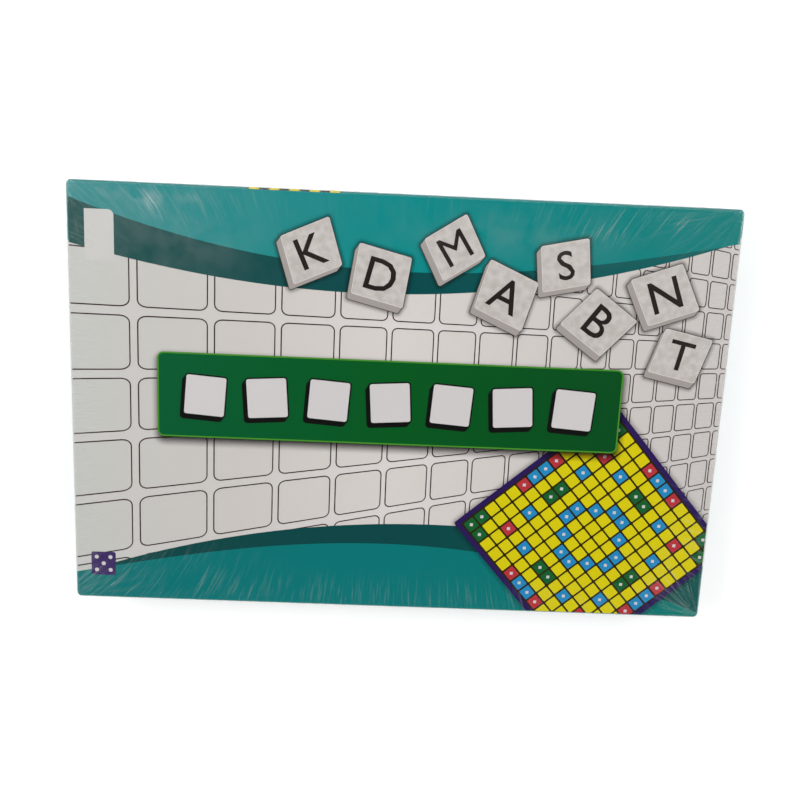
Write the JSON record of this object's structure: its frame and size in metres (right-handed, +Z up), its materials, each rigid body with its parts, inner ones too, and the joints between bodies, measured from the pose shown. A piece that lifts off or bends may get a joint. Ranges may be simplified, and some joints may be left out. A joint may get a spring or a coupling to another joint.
{
  "type": "word board game",
  "caption": "Flat rectangular board game box with a lift-off printed lid in clear shrink film, holding a fitted tray, a folding board, racks, letter tiles, a pouch and rules.",
  "frame": {"origin": "middle of the underside, on the table", "axes": "+X along the long side, to the right of the cover's picture; +Y to the top of the cover's picture; +Z up through the lid"},
  "size_m": [0.3724, 0.2424, 0.0407],
  "materials": {
    "greyboard": "matt pressed fibre",
    "stay_paper": "matt kraft",
    "printed_paper": "semi-gloss print",
    "shrink_film": "clear gloss",
    "tray_plastic": "satin",
    "board_backing_paper": "fine linen",
    "board_print_paper": "satin print",
    "rack_plastic": "gloss",
    "tile_plastic": "semi-gloss",
    "pouch_cloth": "plain weave",
    "booklet_paper": "satin print",
    "staple_wire": "drawn wire"
  },
  "bodies": {
    "base": {"base_board": "greyboard", "base_corner_stays": "stay_paper", "base_wrap": "printed_paper", "film_lower_sides": "shrink_film", "film_underside": "shrink_film", "insert_tray": "tray_plastic", "board_core_lower": "greyboard", "board_core_upper": "greyboard", "board_backing": "board_backing_paper", "board_playing_sheet": "board_print_paper", "tile_rack_1": "rack_plastic", "tile_rack_2": "rack_plastic", "tile_rack_3": "rack_plastic", "tile_rack_4": "rack_plastic", "letter_tiles_bottom": "tile_plastic", "letter_tiles_middle": "tile_plastic", "letter_tiles_top": "tile_plastic", "letter_pouch": "pouch_cloth", "booklet_cover": "booklet_paper", "booklet_sheets": "booklet_paper", "booklet_staples": "staple_wire"},
    "lid": {"lid_board": "greyboard", "lid_corner_stays": "stay_paper", "lid_wrap": "printed_paper", "film_upper": "shrink_film", "film_seal_bead": "shrink_film"}
  },
  "joints": [
    {"name": "lid_lift", "type": "slide", "parent": "base", "child": "lid", "axis": [0, 0, 1], "range_m": [0, 0.12]}
  ]
}
